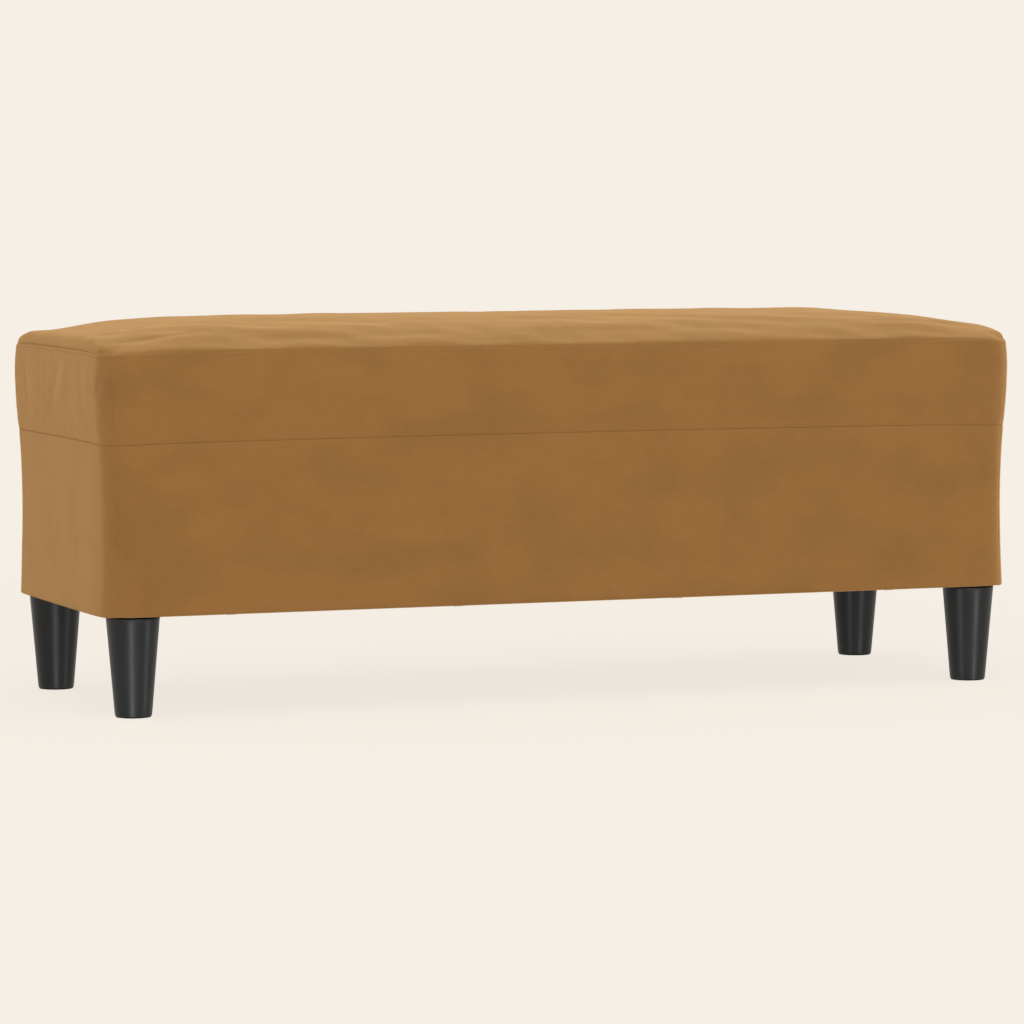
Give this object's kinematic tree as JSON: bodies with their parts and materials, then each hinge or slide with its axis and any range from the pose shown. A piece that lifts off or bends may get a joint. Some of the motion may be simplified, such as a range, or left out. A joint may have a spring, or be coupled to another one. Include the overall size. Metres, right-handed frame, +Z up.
{
  "type": "bed bench",
  "caption": "Long upholstered bed bench with a crowned velvet seat, a boxing band over a plain skirt, and short tapered round legs.",
  "frame": {"origin": "on the floor under the middle of the bench", "axes": "+X along the bench's length to the right as seen from the front, +Y from the front to the back, +Z up"},
  "size_m": [0.9952, 0.3452, 0.3884],
  "materials": {
    "velvet": "short-pile velvet with a soft nap",
    "padding_foam": "open-cell foam, matt",
    "seat_foam": "open-cell foam, matt",
    "wadding": "polyester wadding, matt",
    "plywood": "raw plywood",
    "pine": "planed softwood",
    "dust_cloth": "black non-woven cloth",
    "leg_plastic": "satin moulded plastic",
    "glide_felt": "dense felt",
    "zinc_steel": "zinc plated"
  },
  "bodies": {
    "root": {"back_padding": "padding_foam", "back_panel": "plywood", "corner_block_back_left": "pine", "corner_block_back_right": "pine", "corner_block_front_left": "pine", "corner_block_front_right": "pine", "cover_band_back": "velvet", "cover_band_front": "velvet", "cover_band_left": "velvet", "cover_band_right": "velvet", "cover_skirt_back": "velvet", "cover_skirt_front": "velvet", "cover_skirt_left": "velvet", "cover_skirt_right": "velvet", "cover_top": "velvet", "cross_brace_left": "pine", "cross_brace_right": "pine", "dust_cover": "dust_cloth", "front_padding": "padding_foam", "front_panel": "plywood", "glides": "glide_felt", "insert_nuts": "zinc_steel", "left_end_panel": "plywood", "left_padding": "padding_foam", "leg_studs": "zinc_steel", "legs": "leg_plastic", "right_end_panel": "plywood", "right_padding": "padding_foam", "seat_deck": "plywood", "seat_foam": "seat_foam", "seat_wadding": "wadding", "staples": "zinc_steel"}
  },
  "joints": []
}
